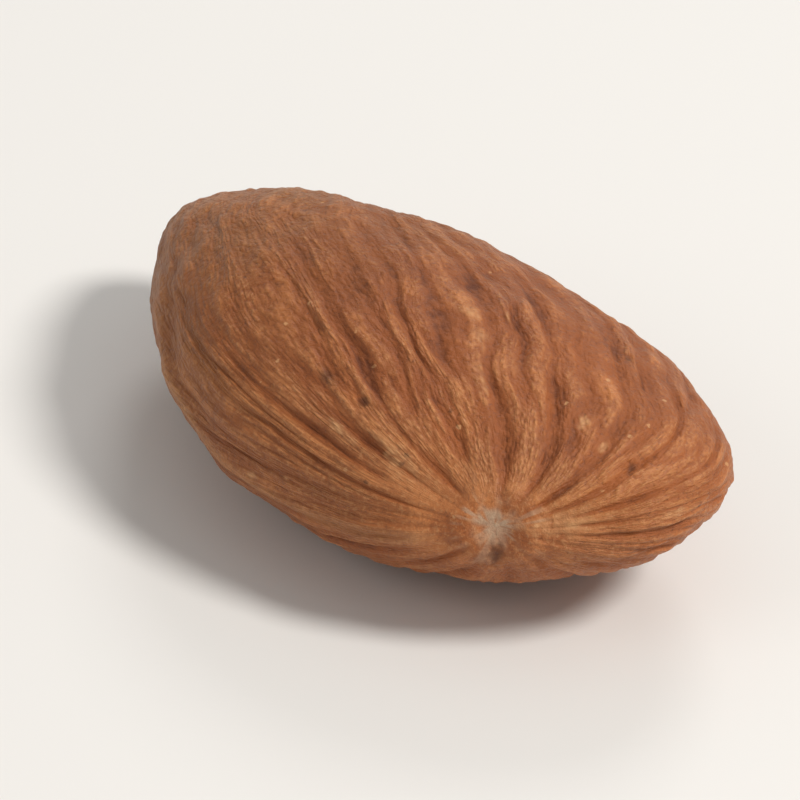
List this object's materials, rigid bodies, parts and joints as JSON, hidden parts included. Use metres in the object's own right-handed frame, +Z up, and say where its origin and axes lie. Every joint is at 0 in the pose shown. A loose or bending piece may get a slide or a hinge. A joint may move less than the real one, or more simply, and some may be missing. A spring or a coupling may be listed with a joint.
{
  "type": "almond",
  "caption": "Shelled almond kernel in its wrinkled brown skin, a flattened teardrop with a pale scar, lying on a small flat spot.",
  "frame": {"origin": "middle of the footprint's box, on the surface that the kernel lies on", "axes": "+X towards the broad end along the length, -X towards the pointed tip, +Z up through the thickness, -Y the side with the seam and the scar"},
  "size_m": [0.0248, 0.0134, 0.0079],
  "materials": {
    "almond_skin": "matt brown seed skin with a faint sheen on the wrinkles"
  },
  "bodies": {
    "root": {"almond": "almond_skin"}
  },
  "joints": []
}
